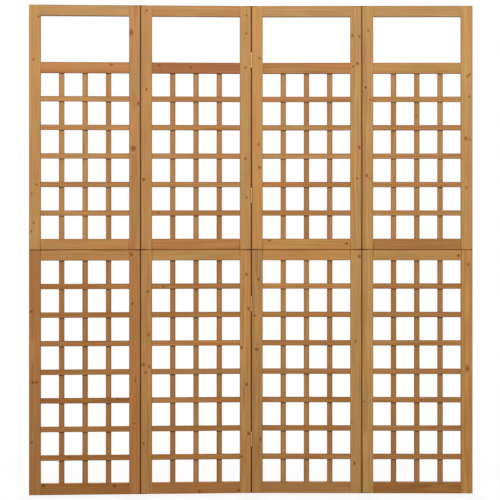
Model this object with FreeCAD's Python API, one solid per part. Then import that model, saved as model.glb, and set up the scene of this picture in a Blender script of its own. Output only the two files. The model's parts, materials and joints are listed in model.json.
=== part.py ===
import FreeCAD, Part
import math
import os

# A folding room divider of four lattice panels, drawn in millimetres.
# X runs to the right as seen from the front, Y to the back and Z up from the floor.
# Each panel is two half-frames, one on top of the other, with a lattice of sticks inside.

# Frames: upright stiles with rails tenoned between them
PANEL_COUNT = 4
STILE_WIDTH = 42.0
RAIL_HEIGHT = 40.0
FRAME_THICKNESS = 20.0
EASED_EDGE = 1.5
TENON_LENGTH = 20.0
TENON_THICKNESS = 7.0
TENON_SHOULDER = 8.0
GLUE_PLAY = 0.15
MORTISE_RELIEF = 1.0

# Lattice: uprights at the back, crossbars laid over their fronts
BAR_WIDTH = 20.0
BAR_THICKNESS = 8.0
CELL_WIDTH = 66.0
CELL_HEIGHT = 85.0
COLUMN_COUNT = 4
LOWER_ROW_COUNT = 8
UPPER_ROW_COUNT = 6
WINDOW_HEIGHT = 170.0

# Loose tenons that join the two half-frames of a panel, hidden in the rails at the seam
LOOSE_TENON_WIDTH = 30.0
LOOSE_TENON_THICKNESS = 7.0
LOOSE_TENON_REACH = 18.0

# Butt hinges let into the edges of the stiles, with a round pin in a many-sided barrel
BARREL_SIDES = 10
HINGE_LENGTH = 55.0
HINGE_TO_FRAME_END = 200.0
LEAF_DEPTH = 15.0
LEAF_THICKNESS = 1.2
PANEL_GAP = 0.2
PIN_RADIUS = 1.5
PIN_PLAY = 0.05
PIN_END = 0.8
KNUCKLE_COUNT = 3
KNUCKLE_PLAY = 0.3
BARREL_CLEARANCE = 0.3

# Countersunk screws of the hinges, each a five-sided bar, and the play of screws and leaves in the wood
SCREW_SIDES = 5
SCREW_LENGTH = 12.0
SCREW_SPREAD = 36.0
SCREW_HEAD_RADIUS = 2.6
SCREW_SHANK_RADIUS = 1.4
SCREW_TIP_RADIUS = 0.3
FITTING_PLAY = 0.1
CUT_OVERRUN = 1.0

# The two middle panels stand this far short of flat, the outer ones in line with them
STAND_FOLD_DEGREES = 3.2

LATTICE_WIDTH = COLUMN_COUNT * CELL_WIDTH + (COLUMN_COUNT - 1) * BAR_WIDTH
LOWER_LATTICE_HEIGHT = LOWER_ROW_COUNT * CELL_HEIGHT + (LOWER_ROW_COUNT - 1) * BAR_WIDTH
UPPER_LATTICE_HEIGHT = UPPER_ROW_COUNT * CELL_HEIGHT + (UPPER_ROW_COUNT - 1) * BAR_WIDTH
SEAM_HEIGHT = RAIL_HEIGHT + LOWER_LATTICE_HEIGHT + RAIL_HEIGHT
WINDOW_RAIL_LOW = SEAM_HEIGHT + RAIL_HEIGHT + UPPER_LATTICE_HEIGHT
TOP_RAIL_LOW = WINDOW_RAIL_LOW + RAIL_HEIGHT + WINDOW_HEIGHT
TOTAL_HEIGHT = TOP_RAIL_LOW + RAIL_HEIGHT
LATTICES = (
    {"foot": RAIL_HEIGHT, "height": LOWER_LATTICE_HEIGHT, "rows": LOWER_ROW_COUNT},
    {"foot": SEAM_HEIGHT + RAIL_HEIGHT, "height": UPPER_LATTICE_HEIGHT, "rows": UPPER_ROW_COUNT},
)

PANEL_WIDTH = STILE_WIDTH + LATTICE_WIDTH + STILE_WIDTH
PANEL_PITCH = PANEL_WIDTH + PANEL_GAP
TOTAL_WIDTH = PANEL_COUNT * PANEL_PITCH - PANEL_GAP
FACE = FRAME_THICKNESS / 2

BORE_RADIUS = PIN_RADIUS + PIN_PLAY
BARREL_RADIUS = BORE_RADIUS + LEAF_THICKNESS
AXIS_PROUD = BARREL_RADIUS + BARREL_CLEARANCE
KNUCKLE_LENGTH = (HINGE_LENGTH - (KNUCKLE_COUNT - 1) * KNUCKLE_PLAY) / KNUCKLE_COUNT

FRONT = -1
BACK = 1
LEFT = -1
RIGHT = 1
UP = FreeCAD.Vector(0, 0, 1)

# Each fold: the panels left and right of it, the panel that keeps the pins, the side of the barrels
FOLDS = (
    {"left": 1, "right": 2, "carrier": 2, "barrel": BACK},
    {"left": 2, "right": 3, "carrier": 2, "barrel": FRONT},
    {"left": 3, "right": 4, "carrier": 3, "barrel": BACK},
)
MIDDLE_AXIS = FreeCAD.Vector(0, FRONT * (FACE + AXIS_PROUD), 0)


def block(x_ends, y_ends, z_ends):
    """A square-edged block between two places on each axis."""
    low = FreeCAD.Vector(min(x_ends), min(y_ends), min(z_ends))
    high = FreeCAD.Vector(max(x_ends), max(y_ends), max(z_ends))
    size = high - low
    return Part.makeBox(size.x, size.y, size.z, low)


def centred(middle, size):
    """The two ends of a size set evenly about a middle."""
    return (middle - size / 2, middle + size / 2)


def face_corners(across_ends, depth, face, eased):
    """The corner pairs along one face of a stick, from its first side across to its last."""
    first, last = across_ends
    if not eased:
        return [(first, depth), (last, depth)]
    step = math.copysign(EASED_EDGE, last - first)
    shoulder = depth - face * EASED_EDGE
    return [(first, shoulder), (first + step, depth), (last - step, depth), (last, shoulder)]


def stick_outline(across_ends, y_ends, eased_faces):
    """The corner pairs round a stick, with the long edges of some of its faces eased."""
    low, high = across_ends
    front = face_corners((low, high), y_ends[0], FRONT, FRONT in eased_faces)
    back = face_corners((high, low), y_ends[1], BACK, BACK in eased_faces)
    return front + back


def extruded(corners, along):
    """A solid drawn from a closed run of corners along a direction."""
    face = Part.Face(Part.makePolygon([*corners, corners[0]]))
    return face.extrude(along)


def upright_stick(x_ends, y_ends, z_ends, eased_faces):
    """A stick that stands."""
    outline = stick_outline(x_ends, y_ends, eased_faces)
    corners = [FreeCAD.Vector(x, y, z_ends[0]) for x, y in outline]
    return extruded(corners, FreeCAD.Vector(0, 0, z_ends[1] - z_ends[0]))


def level_stick(x_ends, y_ends, z_ends, eased_faces):
    """A stick that lies level."""
    outline = stick_outline(z_ends, y_ends, eased_faces)
    corners = [FreeCAD.Vector(x_ends[0], y, z) for z, y in outline]
    return extruded(corners, FreeCAD.Vector(x_ends[1] - x_ends[0], 0, 0))


def panel_left(panel):
    """Where the left edge of a panel is while the divider stands flat."""
    return (panel - 1) * PANEL_PITCH - TOTAL_WIDTH / 2


def lattice_ends(panel):
    """The inner edges of a panel's stiles."""
    left = panel_left(panel) + STILE_WIDTH
    return (left, left + LATTICE_WIDTH)


def frame_ends():
    """The front and back faces of a frame."""
    return centred(0, FRAME_THICKNESS)


def half_frames():
    """The lower and upper ends of each half-frame and the rails that it holds."""
    return {
        "lower": ((0, SEAM_HEIGHT), (0, SEAM_HEIGHT - RAIL_HEIGHT)),
        "upper": ((SEAM_HEIGHT, TOTAL_HEIGHT), (SEAM_HEIGHT, WINDOW_RAIL_LOW, TOP_RAIL_LOW)),
    }


def tenon(side, inner_edge, rail_low, play, relief):
    """The tongue on a rail's end, or with play and relief the mortise that takes it."""
    reach = inner_edge + side * (TENON_LENGTH + relief)
    low = rail_low + TENON_SHOULDER - play
    high = rail_low + RAIL_HEIGHT - TENON_SHOULDER + play
    return block((inner_edge, reach), centred(0, TENON_THICKNESS + 2 * play), (low, high))


def loose_tenons(panel, play, relief):
    """The two loose tenons across a panel's seam, or with play and relief their mortises."""
    inner_left, inner_right = lattice_ends(panel)
    middles = (inner_left + CELL_WIDTH / 2, inner_right - CELL_WIDTH / 2)
    width = LOOSE_TENON_WIDTH + 2 * play
    thickness = LOOSE_TENON_THICKNESS + 2 * play
    height = 2 * (LOOSE_TENON_REACH + relief)
    return [
        block(centred(middle, width), centred(0, thickness), centred(SEAM_HEIGHT, height))
        for middle in middles
    ]


def rail(panel, rail_low):
    """A rail with a tenon on each end, cut for the loose tenons where it lies at the seam."""
    ends = lattice_ends(panel)
    body = level_stick(ends, frame_ends(), (rail_low, rail_low + RAIL_HEIGHT), (FRONT, BACK))
    tongues = [tenon(side, end, rail_low, 0, 0) for side, end in zip((LEFT, RIGHT), ends)]
    return body.fuse(tongues).cut(loose_tenons(panel, GLUE_PLAY, MORTISE_RELIEF))


def stile(panel, side, half):
    """A stile of one half-frame, cut for its rails, its hinge leaves and their screws."""
    height_ends, rail_lows = half_frames()[half]
    inner_edge = lattice_ends(panel)[0 if side == LEFT else 1]
    outer_edge = inner_edge + side * STILE_WIDTH
    body = upright_stick(sorted((inner_edge, outer_edge)), frame_ends(), height_ends, (FRONT, BACK))
    cuts = [tenon(side, inner_edge, low, GLUE_PLAY, MORTISE_RELIEF) for low in rail_lows]
    for fold in folds_at(panel, side):
        for height in hinge_heights(half):
            cuts.append(leaf_plate(fold, -side, height, FITTING_PLAY))
            cuts.extend(leaf_screws(fold, -side, height, FITTING_PLAY))
    return body.cut(cuts)


def uprights(panel):
    """The sticks that stand at the back of a panel's lattice, square where they bear on the crossbars."""
    inner_left = lattice_ends(panel)[0]
    sticks = []
    for column in range(1, COLUMN_COUNT):
        left = inner_left + column * CELL_WIDTH + (column - 1) * BAR_WIDTH
        for lattice in LATTICES:
            z_ends = (lattice["foot"], lattice["foot"] + lattice["height"])
            sticks.append(upright_stick((left, left + BAR_WIDTH), (0, BAR_THICKNESS), z_ends, (BACK,)))
    return Part.makeCompound(sticks)


def crossbars(panel):
    """The sticks that lie across the fronts of a panel's uprights, square where they bear on them."""
    sticks = []
    for lattice in LATTICES:
        for row in range(1, lattice["rows"]):
            low = lattice["foot"] + row * CELL_HEIGHT + (row - 1) * BAR_WIDTH
            z_ends = (low, low + BAR_WIDTH)
            sticks.append(level_stick(lattice_ends(panel), (-BAR_THICKNESS, 0), z_ends, (FRONT,)))
    return Part.makeCompound(sticks)


def folds_at(panel, side):
    """The folds on one side of a panel: one, or none at the divider's ends."""
    neighbour = "left" if side == RIGHT else "right"
    return [fold for fold in FOLDS if fold[neighbour] == panel]


def side_of_fold(fold, panel):
    """Which side of a fold a panel is on."""
    return LEFT if fold["left"] == panel else RIGHT


def hinge_heights(half):
    """The middles of the two hinges on one half-frame."""
    low, high = half_frames()[half][0]
    return (low + HINGE_TO_FRAME_END, high - HINGE_TO_FRAME_END)


def all_hinge_heights():
    """The middles of the four hinges of one fold."""
    return hinge_heights("lower") + hinge_heights("upper")


def fold_axis(fold):
    """Where the pins of a fold stand while the divider is flat."""
    gap_middle = panel_left(fold["right"]) - PANEL_GAP / 2
    return FreeCAD.Vector(gap_middle, fold["barrel"] * (FACE + AXIS_PROUD), 0)


def corners_round(sides, radius):
    """The corner pairs of a regular outline round a centre."""
    turns = [2 * math.pi * step / sides for step in range(sides)]
    return [(radius * math.cos(turn), radius * math.sin(turn)) for turn in turns]


def many_sided_bar(sides, radius, length, base):
    """An upright bar with flat sides, on a base point."""
    corners = [base + FreeCAD.Vector(x, y, 0) for x, y in corners_round(sides, radius)]
    return extruded(corners, UP * length)


def screw_outline(station, radius):
    """The closed outline of a screw at one station along the X axis."""
    corners = [FreeCAD.Vector(station, y, z) for y, z in corners_round(SCREW_SIDES, radius)]
    return Part.makePolygon([*corners, corners[0]])


def screw(play):
    """A countersunk screw along the X axis, or with play the hole that takes it."""
    stations = [
        (0, SCREW_HEAD_RADIUS + play),
        (LEAF_THICKNESS, SCREW_SHANK_RADIUS + play),
        (SCREW_LENGTH + play, SCREW_TIP_RADIUS + play),
    ]
    if play:
        stations.insert(0, (-CUT_OVERRUN, SCREW_HEAD_RADIUS + play))
    return Part.makeLoft([screw_outline(*station) for station in stations], True, True)


def leaf_screws(fold, side, height, play):
    """The two screws of one leaf, or with play their holes."""
    axis = fold_axis(fold)
    depth = fold["barrel"] * (FACE - LEAF_DEPTH / 2)
    screws = []
    for place in centred(height, SCREW_SPREAD):
        shape = screw(play)
        if side == LEFT:
            shape.rotate(FreeCAD.Vector(0, 0, 0), UP, 180)
        shape.translate(FreeCAD.Vector(axis.x + side * PANEL_GAP / 2, depth, place))
        screws.append(shape)
    return screws


def leaf_sides(fold, side, play):
    """The two sides of a leaf's plate: the one in the gap and the one against the wood."""
    middle = fold_axis(fold).x
    return (middle + side * (PANEL_GAP / 2 - play), middle + side * (PANEL_GAP / 2 + LEAF_THICKNESS))


def leaf_plate(fold, side, height, play):
    """The flat plate of a leaf, or with play the recess in a stile's edge that takes it."""
    y_ends = (fold["barrel"] * (FACE + play), fold["barrel"] * (FACE - LEAF_DEPTH - play))
    return block(leaf_sides(fold, side, play), y_ends, centred(height, HINGE_LENGTH + 2 * play))


def hinge_leaf(fold, panel, height):
    """One leaf with its knuckles; the carrier of the pins has the knuckles at both ends."""
    axis = fold_axis(fold)
    side = side_of_fold(fold, panel)
    arm_x_ends = leaf_sides(fold, side, 0)
    arm_y_ends = (axis.y, fold["barrel"] * FACE)
    foot = FreeCAD.Vector(axis.x, axis.y, height - HINGE_LENGTH / 2)
    rolls = []
    for index in range(0 if panel == fold["carrier"] else 1, KNUCKLE_COUNT, 2):
        base = foot + UP * (index * (KNUCKLE_LENGTH + KNUCKLE_PLAY))
        rolls.append(many_sided_bar(BARREL_SIDES, BARREL_RADIUS, KNUCKLE_LENGTH, base))
        rolls.append(block(arm_x_ends, arm_y_ends, (base.z, base.z + KNUCKLE_LENGTH)))
    bore_corner = BORE_RADIUS / math.cos(math.pi / BARREL_SIDES)
    bore = many_sided_bar(BARREL_SIDES, bore_corner, HINGE_LENGTH, foot)
    leaf = leaf_plate(fold, side, height, 0).fuse(rolls)
    return leaf.cut([bore, *leaf_screws(fold, side, height, FITTING_PLAY)])


def panel_hinge_pieces(panel, make):
    """The pieces that one panel has at every hinge, made one hinge at a time."""
    pieces = []
    for fold in FOLDS:
        if panel in (fold["left"], fold["right"]):
            for height in all_hinge_heights():
                pieces.extend(make(fold, height))
    return Part.makeCompound(pieces)


def hinge_leaves(panel):
    """All the hinge leaves on a panel's stiles."""
    return panel_hinge_pieces(panel, lambda fold, height: [hinge_leaf(fold, panel, height)])


def hinge_screws(panel):
    """All the screws that hold a panel's hinge leaves."""
    return panel_hinge_pieces(
        panel, lambda fold, height: leaf_screws(fold, side_of_fold(fold, panel), height, 0)
    )


def hinge_pins(fold):
    """The pins of one fold, a little proud of the barrels at both ends."""
    axis = fold_axis(fold)
    length = HINGE_LENGTH + 2 * PIN_END
    feet = [axis + UP * (height - length / 2) for height in all_hinge_heights()]
    return Part.makeCompound([Part.makeCylinder(PIN_RADIUS, length, foot) for foot in feet])


def floor_centre_shift():
    """How far the folded divider moves along Y to stand evenly about the origin."""
    turn = math.radians(STAND_FOLD_DEGREES / 2)
    front = AXIS_PROUD * math.cos(turn) - TOTAL_WIDTH / 2 * math.sin(turn)
    back = (AXIS_PROUD + FRAME_THICKNESS) * math.cos(turn) - PANEL_GAP / 2 * math.sin(turn)
    return -MIDDLE_AXIS.y - (front + back) / 2


def stand(panel, shape):
    """Turn a piece that was drawn flat to where its panel stands."""
    towards_viewer = 1 if panel_left(panel) < 0 else -1
    shape.rotate(MIDDLE_AXIS, UP, towards_viewer * STAND_FOLD_DEGREES / 2)
    shape.translate(FreeCAD.Vector(0, floor_centre_shift(), 0))
    return shape


def panel_pieces(panel):
    """Every piece of one panel, by name."""
    return {
        "upper_left_stile": stile(panel, LEFT, "upper"),
        "upper_right_stile": stile(panel, RIGHT, "upper"),
        "lower_left_stile": stile(panel, LEFT, "lower"),
        "lower_right_stile": stile(panel, RIGHT, "lower"),
        "top_rail": rail(panel, TOP_RAIL_LOW),
        "window_rail": rail(panel, WINDOW_RAIL_LOW),
        "upper_bottom_rail": rail(panel, SEAM_HEIGHT),
        "lower_top_rail": rail(panel, SEAM_HEIGHT - RAIL_HEIGHT),
        "bottom_rail": rail(panel, 0),
        "uprights": uprights(panel),
        "crossbars": crossbars(panel),
        "loose_tenons": Part.makeCompound(loose_tenons(panel, 0, 0)),
        "hinge_leaves": hinge_leaves(panel),
        "hinge_screws": hinge_screws(panel),
    }


os.makedirs("parts", exist_ok=True)
for number in range(1, PANEL_COUNT + 1):
    for name, piece in panel_pieces(number).items():
        stand(number, piece).exportStep(f"parts/panel_{number}_{name}.step")
for fold in FOLDS:
    pins = stand(fold["carrier"], hinge_pins(fold))
    pins.exportStep(f"parts/hinge_pins_{fold['left']}_{fold['right']}.step")
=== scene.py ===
import json
import logging
import math
import random
from collections.abc import Callable, Iterable
from dataclasses import dataclass, field
from enum import Enum
from functools import partial
from typing import NamedTuple

import bmesh
import bpy
from bmesh.types import BMEdge, BMesh, BMFace, BMVert
from bpy.types import Material, Node, NodeSocket, NodeTree, Object, World
from mathutils import Matrix, Vector


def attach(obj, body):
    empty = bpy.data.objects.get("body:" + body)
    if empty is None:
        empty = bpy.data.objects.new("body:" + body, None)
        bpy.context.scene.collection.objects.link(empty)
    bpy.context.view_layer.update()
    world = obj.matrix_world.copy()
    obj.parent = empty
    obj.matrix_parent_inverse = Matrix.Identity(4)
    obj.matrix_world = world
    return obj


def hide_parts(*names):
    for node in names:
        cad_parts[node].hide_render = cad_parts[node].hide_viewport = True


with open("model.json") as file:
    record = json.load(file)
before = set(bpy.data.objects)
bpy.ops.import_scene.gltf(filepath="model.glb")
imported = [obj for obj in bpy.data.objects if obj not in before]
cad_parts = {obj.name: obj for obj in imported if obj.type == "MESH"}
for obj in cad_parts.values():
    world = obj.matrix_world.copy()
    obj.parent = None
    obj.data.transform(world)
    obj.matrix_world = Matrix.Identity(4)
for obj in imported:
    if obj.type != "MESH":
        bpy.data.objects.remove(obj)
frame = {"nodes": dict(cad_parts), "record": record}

MM = 0.001
LOG = logging.getLogger("divider")
BLACK = (0, 0, 0, 1)
WHITE = (1, 1, 1, 1)

AddNode = Callable[..., Node]
Triple = tuple[float, float, float]


def linear_colour(code: str) -> tuple[float, float, float, float]:
    """Turn an sRGB hex colour into linear red, green, blue and alpha.

    Args:
        code: Six hex digits.

    Returns:
        The linear colour with an alpha of one.
    """
    shares = [int(code[place:place + 2], 16) / 255 for place in (0, 2, 4)]
    red, green, blue = [s / 12.92 if s <= 0.04045 else ((s + 0.055) / 1.055) ** 2.4 for s in shares]
    return (red, green, blue, 1.0)


def add_node(
    tree: NodeTree, kind: str, *values: object, inputs: dict[str, object] | None = None, **settings: object
) -> Node:
    """Add a shader node, set its properties and fill or link its inputs.

    An input takes a value, a colour as six hex digits, an output to link, or a node whose first output
    in use is linked.

    Args:
        tree: The node tree that takes the node.
        kind: Blender's type name of the node, without the words that all of them start with.
        values: What the inputs in use take, in their order.
        inputs: What other inputs take, by name.
        settings: Properties of the node itself.

    Returns:
        The new node.
    """
    node = tree.nodes.new("ShaderNode" + kind)
    for name, value in settings.items():
        setattr(node, name, value)
    in_use = [socket for socket in node.inputs if socket.enabled]
    by_name = [(node.inputs[name], value) for name, value in (inputs or {}).items()]
    for socket, value in [*zip(in_use, values), *by_name]:
        if isinstance(value, Node):
            value = next(output for output in value.outputs if output.enabled)
        if isinstance(value, NodeSocket):
            tree.links.new(value, socket)
        else:
            socket.default_value = linear_colour(value) if isinstance(value, str) else value
    return node


def node_adder(owner: Material | World) -> AddNode:
    """Clear the nodes of a material or of the world.

    Args:
        owner: The material or the world.

    Returns:
        What adds a node to it, called as add_node is but without the tree.
    """
    owner.use_nodes = True
    owner.node_tree.nodes.clear()
    return partial(add_node, owner.node_tree)


def patches(add: AddNode, place: NodeSocket, size_mm: Triple, detail: float = 2.0) -> Node:
    """Make soft noise whose patches have a real size along each axis.

    Args:
        add: What adds a node to the material.
        place: The coordinates in metres.
        size_mm: The patches' size along each axis.
        detail: How many finer layers the noise has.

    Returns:
        The noise, whose first output is its level.
    """
    scaled = add("Mapping", place, inputs={"Scale": [1 / (size * MM) for size in size_mm]})
    return add("TexNoise", scaled, inputs={"Scale": 1.0, "Detail": detail})


class Fade(NamedTuple):
    """How one level follows another, from a first level at the start to a last one at the end.

    The order is that of a Map Range node's inputs.
    """

    start: float
    end: float
    first: float = 0.0
    last: float = 1.0


class Tone(Enum):
    """How a stick of fir took the stain, as an sRGB colour in plain light."""

    PALE = "C7995F"
    STRAW = "BE9058"
    BLOND = "B98F5E"
    HONEY = "B98853"
    AMBER = "C38F54"
    CHESTNUT = "B97F4C"
    RUSSET = "B48150"
    OCHRE = "B07B48"
    UMBER = "AA7440"
    MAHOGANY = "A1653A"


@dataclass(frozen=True)
class Groove:
    """Extra stain and painted shade gathered along a joint.

    At the arris the colour deepens as under so many more layers of stain, partly real stain and partly
    painted shade, and the painted shade lets through this share of the light.
    Both fade out over the reach.
    """

    stain_and_shade_coats: float
    reach_mm: float
    painted_shade_level: float = 1.0


# The vertex layers for a stick's knots, each with a place along and across the stick and a radius in metres.
KNOT_LAYERS = ("knot_a", "knot_b", "knot_c", "knot_d", "knot_e", "knot_f")
# What a layer without a knot holds: a tiny one far away.
NO_KNOT = Vector((90.0, 90.0, 0.001))


@dataclass(frozen=True)
class StainedFir:
    """Planed fir under a thin honey stain and satin varnish.

    The eye gets calm straight streaks, small dark knots, darker lines along the arrises, extra stain
    with painted shade in the joints, and a soft sheen towards the light. Real fibres are finer than a pixel
    of the picture, so they are drawn some millimetres wide to show.

    Patterns have their sizes along, across and through the stick. Rings rise slowly from early to late
    wood and end sharply, at the given shares of their width. A knot is longer along the stick than
    across it, goes right through, and fades with the distance in radii from its middle. The pith that
    the rings run round is drawn by lot for each stick, and so is the strength of its stain.
    """

    name: str = "stained_fir_satin_varnish"
    late_wood: str = "D6B78C"
    late_share: float = 0.45
    ring_mm: float = 5.5
    ring_shares: Triple = (0.05, 0.78, 0.97)
    ring_wander_mm: float = 12.0
    ring_wave_mm: Triple = (320.0, 40.0, 40.0)
    ring_lift_m: Fade = Fade(0.0, 5.0, 6.0 * MM, 0.0)
    pith_along_mm: tuple[float, float] = (0.0, 3000.0)
    pith_aside_widths: tuple[float, float] = (-1.1, 1.1)
    pith_depth_mm: tuple[float, float] = (10.0, 48.0)
    stain_levels: tuple[float, float] = (0.97, 1.03)
    fibre_mm: Triple = (150.0, 3.2, 3.2)
    fibre_detail: float = 3.0
    fibre_level: Fade = Fade(0.25, 0.75, 0.90, 1.12)
    blotch_mm: Triple = (170.0, 30.0, 30.0)
    blotch_level: Fade = Fade(0.3, 0.7, 0.93, 1.09)
    warm_tint: str = "FFF8EA"
    cool_tint: str = "F8FFFA"
    tint_mm: Triple = (110.0, 24.0, 24.0)
    tint_lean: Fade = Fade(0.35, 0.65)
    knot_squeeze: Triple = (0.8, 1.0, 0.0)
    halo: str = "C29640"
    halo_share: Fade = Fade(0.8, 3.5, 0.78, 0.0)
    heart: str = "4E2507"
    heart_share: Fade = Fade(0.5, 1.15, 0.50, 0.0)
    edge_level: float = 0.80
    edge_reach_mm: float = 3.0
    # The seam and the folds take extra stain and painted shade, which darken the crease between the
    # half-frames and the slits between the panels.
    seam: Groove = Groove(0.75, 1.2)
    folds: tuple[Groove, ...] = (Groove(1.6, 2.8, 0.50), Groove(1.8, 3.4, 0.42), Groove(1.8, 3.2, 0.45))
    roughness: Fade = Fade(0.3, 0.7, 0.50, 0.62)
    sheen: float = 0.18
    relief_mm: float = 0.15
    relief_strength: float = 0.25
    fibre_relief: float = 0.4

    def knot_reach(self, add: AddNode, grain: NodeSocket) -> Node:
        """Measure how far a point lies from the nearest knot, in radii of that knot.

        Args:
            add: What adds a node to the material.
            grain: The place in the stick, along, across and through it.

        Returns:
            The node with the distance.
        """
        nearest = None
        for name in KNOT_LAYERS:
            knot = add("Attribute", attribute_name=name).outputs["Vector"]
            apart = add("VectorMath", grain, knot, operation="SUBTRACT")
            flat = add("VectorMath", apart, self.knot_squeeze, operation="MULTIPLY")
            length = add("VectorMath", flat, operation="LENGTH")
            radius = add("SeparateXYZ", knot).outputs["Z"]
            reach = add("Math", length, radius, operation="DIVIDE")
            nearest = reach if nearest is None else add("Math", nearest, reach, operation="MINIMUM")
        return nearest

    def ring_shade(self, add: AddNode, grain: NodeSocket, reach: Node) -> Node:
        """Draw the growth rings, which wander along the stick and swell round its knots.

        Args:
            add: What adds a node to the material.
            grain: The place in the stick, measured from the pith.
            reach: The distance from the nearest knot, in radii.

        Returns:
            The node with the late wood's share, zero to one.
        """
        cut = add("VectorMath", grain, (0, 1, 1), operation="MULTIPLY")
        radius = add("VectorMath", cut, operation="LENGTH")
        wander = patches(add, grain, self.ring_wave_mm)
        moved = add("Math", wander, self.ring_wander_mm * MM, radius, operation="MULTIPLY_ADD")
        lift = add("MapRange", reach, *self.ring_lift_m, interpolation_type="SMOOTHERSTEP")
        raised = add("Math", moved, lift, operation="ADD")
        count = add("Math", raised, self.ring_mm * MM, operation="DIVIDE")
        shade = add("ValToRGB", add("Math", count, operation="FRACT"))
        shade.color_ramp.interpolation = "EASE"
        early, late, end = self.ring_shares
        steps = shade.color_ramp.elements
        steps[0].position, steps[0].color = early, BLACK
        steps[1].position, steps[1].color = late, WHITE
        steps.new(end).color = BLACK
        return shade

    def streaks(self, add: AddNode, grain: NodeSocket, wood: Node, fibre: Node) -> Node:
        """Vary the stain along the stick in fine fibres, broad blotches and a slow drift of hue.

        Args:
            add: What adds a node to the material.
            grain: The place in the stick.
            wood: The colour to vary.
            fibre: The fibres' noise.

        Returns:
            The node with the varied colour.
        """
        fine = add("MapRange", fibre, *self.fibre_level)
        broad = add("MapRange", patches(add, grain, self.blotch_mm), *self.blotch_level)
        level = add("Math", fine, broad, operation="MULTIPLY")
        lean = add("MapRange", patches(add, grain, self.tint_mm), *self.tint_lean)
        tint = add("Mix", lean, self.warm_tint, self.cool_tint, data_type="RGBA")
        tinted = add("VectorMath", wood, tint, operation="MULTIPLY")
        return add("VectorMath", tinted, level, operation="SCALE")

    def build(self) -> Material:
        """Make the material.

        Returns:
            The stained and varnished wood.
        """
        material = bpy.data.materials.new(self.name)
        add = node_adder(material)
        grain = add("Attribute", attribute_name="grain").outputs["Vector"]
        # The stain attribute carries painted shade at the joints as well as the stain.
        stain = add("Attribute", attribute_name="stain").outputs["Color"]
        reach = self.knot_reach(add, grain)
        rings = self.ring_shade(add, grain, reach)
        fibre = patches(add, grain, self.fibre_mm, self.fibre_detail)

        late = add("Math", rings, self.late_share, operation="MULTIPLY")
        ringed = add("Mix", late, stain, self.late_wood, data_type="RGBA", blend_type="MULTIPLY")
        wood = self.streaks(add, grain, ringed, fibre)
        halo = add("MapRange", reach, *self.halo_share, interpolation_type="SMOOTHSTEP")
        haloed = add("Mix", halo, wood, self.halo, data_type="RGBA", blend_type="MULTIPLY")
        heart = add("MapRange", reach, *self.heart_share, interpolation_type="SMOOTHSTEP")
        relief = add("Math", fibre, self.fibre_relief, rings, operation="MULTIPLY_ADD")
        bump = {"Strength": self.relief_strength, "Distance": self.relief_mm * MM, "Height": relief}
        shader = add("BsdfPrincipled", inputs={
            "Base Color": add("Mix", heart, haloed, self.heart, data_type="RGBA"),
            "Roughness": add("MapRange", fibre, *self.roughness),
            "Normal": add("Bump", inputs=bump),
            "Specular IOR Level": self.sheen,
        })
        add("OutputMaterial", shader)
        return material


@dataclass(frozen=True)
class HingeSteel:
    """Steel with a soft gleam that is a little cloudy where hands and weather dulled it."""

    name: str
    bright: str
    cloudy: str
    roughness: Fade
    cloud_mm: Triple = (6.0, 6.0, 6.0)
    cloud_detail: float = 3.0

    def build(self) -> Material:
        """Make the material.

        Returns:
            The metal.
        """
        material = bpy.data.materials.new(self.name)
        add = node_adder(material)
        cloud = patches(add, add("TexCoord").outputs["Object"], self.cloud_mm, self.cloud_detail)
        shader = add("BsdfPrincipled", inputs={
            "Base Color": add("Mix", cloud, self.bright, self.cloudy, data_type="RGBA"),
            "Roughness": add("MapRange", cloud, *self.roughness),
            "Metallic": 1.0,
        })
        add("OutputMaterial", shader)
        return material


# Plated with yellow passivated zinc, it shows a dull gold-brown gleam.
YELLOW_ZINC = HingeSteel("yellow_zinc_plated_steel", "C0A082", "9E7C58", Fade(0.3, 0.7, 0.34, 0.52))
# Drawn through a die and left bare, it shows a cooler, sharper gleam.
BRIGHT_DRAWN = HingeSteel("bright_drawn_steel", "B4B0AB", "9C9791", Fade(0.3, 0.7, 0.22, 0.40))


@dataclass(frozen=True)
class RawBeech:
    """Unfinished beech of the loose tenons: pale pinkish wood with short dark flecks."""

    name: str = "raw_beech"
    ground: str = "D6B48C"
    fleck: str = "B98F66"
    fleck_mm: Triple = (1.2, 1.2, 6.0)
    fleck_share: Fade = Fade(0.52, 0.68)
    roughness: float = 0.7

    def build(self) -> Material:
        """Make the material.

        Returns:
            The raw wood.
        """
        material = bpy.data.materials.new(self.name)
        add = node_adder(material)
        flecks = patches(add, add("TexCoord").outputs["Object"], self.fleck_mm)
        share = add("MapRange", flecks, *self.fleck_share)
        shader = add("BsdfPrincipled", inputs={
            "Base Color": add("Mix", share, self.ground, self.fleck, data_type="RGBA"),
            "Roughness": self.roughness,
        })
        add("OutputMaterial", shader)
        return material


@dataclass(frozen=True)
class Viewpoint:
    """Where the photograph was taken from, with the places in its image in pixels."""

    place_m: Triple = (-0.0935, -4.7656, 1.083)
    turn_right_deg: float = 1.064
    focal_px: float = 1290.0
    horizon_px: float = 200.0
    image_px: float = 500.0
    sensor_mm: float = 36.0

    def build(self) -> None:
        """Make the scene's camera."""
        data = bpy.data.cameras.new("camera")
        data.sensor_width = self.sensor_mm
        data.lens = self.focal_px * self.sensor_mm / self.image_px
        data.shift_y = (self.horizon_px - self.image_px / 2) / self.image_px
        camera = bpy.data.objects.new("camera", data)
        camera.location = self.place_m
        camera.rotation_euler = (math.radians(90), 0, -math.radians(self.turn_right_deg))
        bpy.context.scene.collection.objects.link(camera)
        bpy.context.scene.camera = camera

    def ray(self, pixel: tuple[int, int]) -> tuple[Vector, Vector]:
        """Follow the middle of a pixel of the photograph out into the scene.

        Args:
            pixel: Its column and row.

        Returns:
            The camera's place and the direction of sight.
        """
        column, row = (number + 0.5 for number in pixel)
        right = (column - self.image_px / 2) / self.focal_px
        up = (self.horizon_px - row) / self.focal_px
        turned = Matrix.Rotation(-math.radians(self.turn_right_deg), 3, "Z")
        return Vector(self.place_m), turned @ Vector((right, 1.0, up))


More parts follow.
